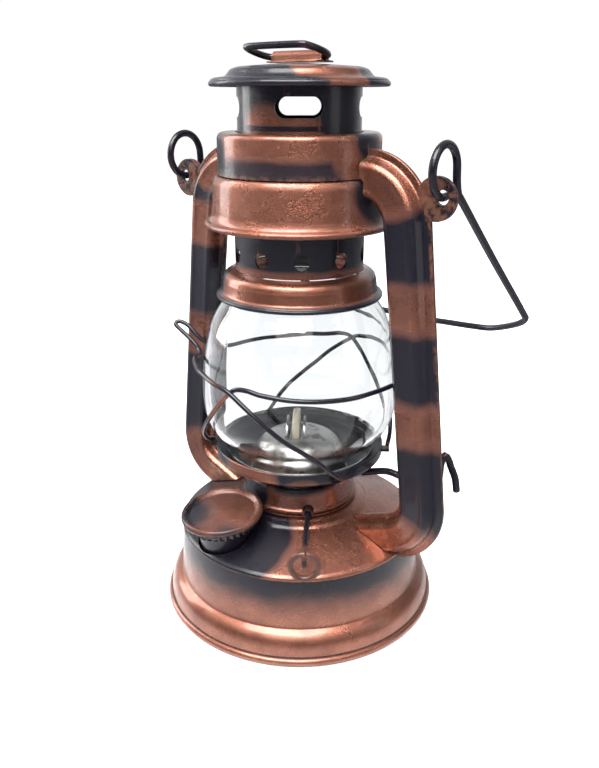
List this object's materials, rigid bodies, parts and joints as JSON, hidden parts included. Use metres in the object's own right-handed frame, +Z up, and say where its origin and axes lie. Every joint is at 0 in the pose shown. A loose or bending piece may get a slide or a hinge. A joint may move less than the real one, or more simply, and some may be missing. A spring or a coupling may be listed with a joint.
{
  "type": "oil lamp",
  "caption": "Hurricane oil lantern: round fuel tank, wick burner, clear bulged glass globe in a wire guard, side air tubes, vented hood and swinging bail handle.",
  "frame": {"origin": "centre of the tank's underside, on the lantern's vertical axis", "axes": "+Z up along the lantern's axis, +X along the line through the two side tubes, -Y towards the front where the filler cap and the wick knob are, +Y towards the back where the bail leans"},
  "size_m": [0.1468, 0.1724, 0.239],
  "materials": {
    "copper_lacquer": "antique copper lacquer, sprayed black in patches, glossy",
    "smoked_lacquer": "antique copper lacquer mostly covered by black spray, glossy",
    "black_wire": "black lacquered wire with copper showing on worn edges",
    "burner_steel": "plain zinc-grey sheet",
    "globe_glass": "clear blown glass",
    "cotton": "woven flat cotton wick",
    "cork": "matt sealing ring"
  },
  "bodies": {
    "tank_and_frame": {"fount_body": "copper_lacquer", "fount_bottom": "copper_lacquer", "fount_shoulder": "copper_lacquer", "filler_neck": "smoked_lacquer", "burner_collar": "copper_lacquer", "burner_plate": "burner_steel", "burner_cup": "copper_lacquer", "burner_dome": "burner_steel", "wick_tube": "burner_steel", "knob_sleeve": "smoked_lacquer", "lever_pin": "smoked_lacquer", "right_tube_front": "smoked_lacquer", "right_tube_rear": "smoked_lacquer", "left_tube_front": "smoked_lacquer", "left_tube_rear": "smoked_lacquer", "air_chamber_upper": "copper_lacquer", "air_chamber_lower": "copper_lacquer", "air_chamber_floor": "smoked_lacquer", "hood_spring": "burner_steel"},
    "globe_carriage": {"globe_plate": "smoked_lacquer", "globe": "globe_glass", "guard_wire_front": "black_wire", "guard_wire_rear": "black_wire"},
    "hood": {"bell": "copper_lacquer", "perforated_collar": "smoked_lacquer", "chimney": "smoked_lacquer", "canopy": "smoked_lacquer", "ring_strap": "copper_lacquer"},
    "top_ring": {"lift_ring": "black_wire"},
    "lever": {"lift_lever": "black_wire"},
    "bail_handle": {"bail": "black_wire"},
    "knob": {"wick_knob": "black_wire", "wick_wheel_1": "burner_steel", "wick_wheel_2": "burner_steel"},
    "wick_strip": {"wick": "cotton"},
    "seal": {"cap_seal": "cork"},
    "cap": {"filler_cap": "copper_lacquer"}
  },
  "joints": [
    {"name": "globe_lift", "type": "slide", "parent": "tank_and_frame", "child": "globe_carriage", "axis": [0, 0, 1], "range_m": [0, 0.005]},
    {"name": "lever_turn", "type": "hinge", "parent": "tank_and_frame", "child": "lever", "pos_m": [0.0605, 0.0094, 0.0666], "axis": [0, 1, 0], "range_deg": [0, 9.2]},
    {"name": "hood_lift", "type": "slide", "parent": "globe_carriage", "child": "hood", "axis": [0, 0, 1], "range_m": [0, 0.01], "stiffness_N_per_m": 120, "springref_m": -0.01, "deforming": ["hood_spring"]},
    {"name": "ring_fold", "type": "hinge", "parent": "hood", "child": "top_ring", "pos_m": [0, 0, 0.2343], "axis": [-1, 0, 0], "range_deg": [0, 146]},
    {"name": "bail_swing", "type": "hinge", "parent": "tank_and_frame", "child": "bail_handle", "pos_m": [0, 0, 0.196], "axis": [1, 0, 0], "range_deg": [-25, 285]},
    {"name": "knob_turn", "type": "hinge", "parent": "tank_and_frame", "child": "knob", "pos_m": [0.0041, 0.00287, 0.0526], "axis": [-0.5736, 0.8192, 0], "range_deg": [-78, 52]},
    {"name": "wick_slide", "type": "slide", "parent": "tank_and_frame", "child": "wick_strip", "axis": [0, 0, 1], "range_m": [-0.006, 0.004]},
    {"name": "cap_rise", "type": "slide", "parent": "tank_and_frame", "child": "seal", "axis": [-0.0217, -0.1022, 0.9945], "range_m": [0, 0.0051]},
    {"name": "cap_turn", "type": "hinge", "parent": "seal", "child": "cap", "pos_m": [-0.00902, -0.04245, 0.0552], "axis": [-0.0217, -0.1022, 0.9945], "range_deg": [0, 720]}
  ],
  "couplings": [
    {"joint": "lever_turn", "follows": "globe_lift", "rad_per_m": 32},
    {"joint": "wick_slide", "follows": "knob_turn", "m_per_rad": 0.0044},
    {"joint": "cap_rise", "follows": "cap_turn", "m_per_rad": 0.000398}
  ]
}
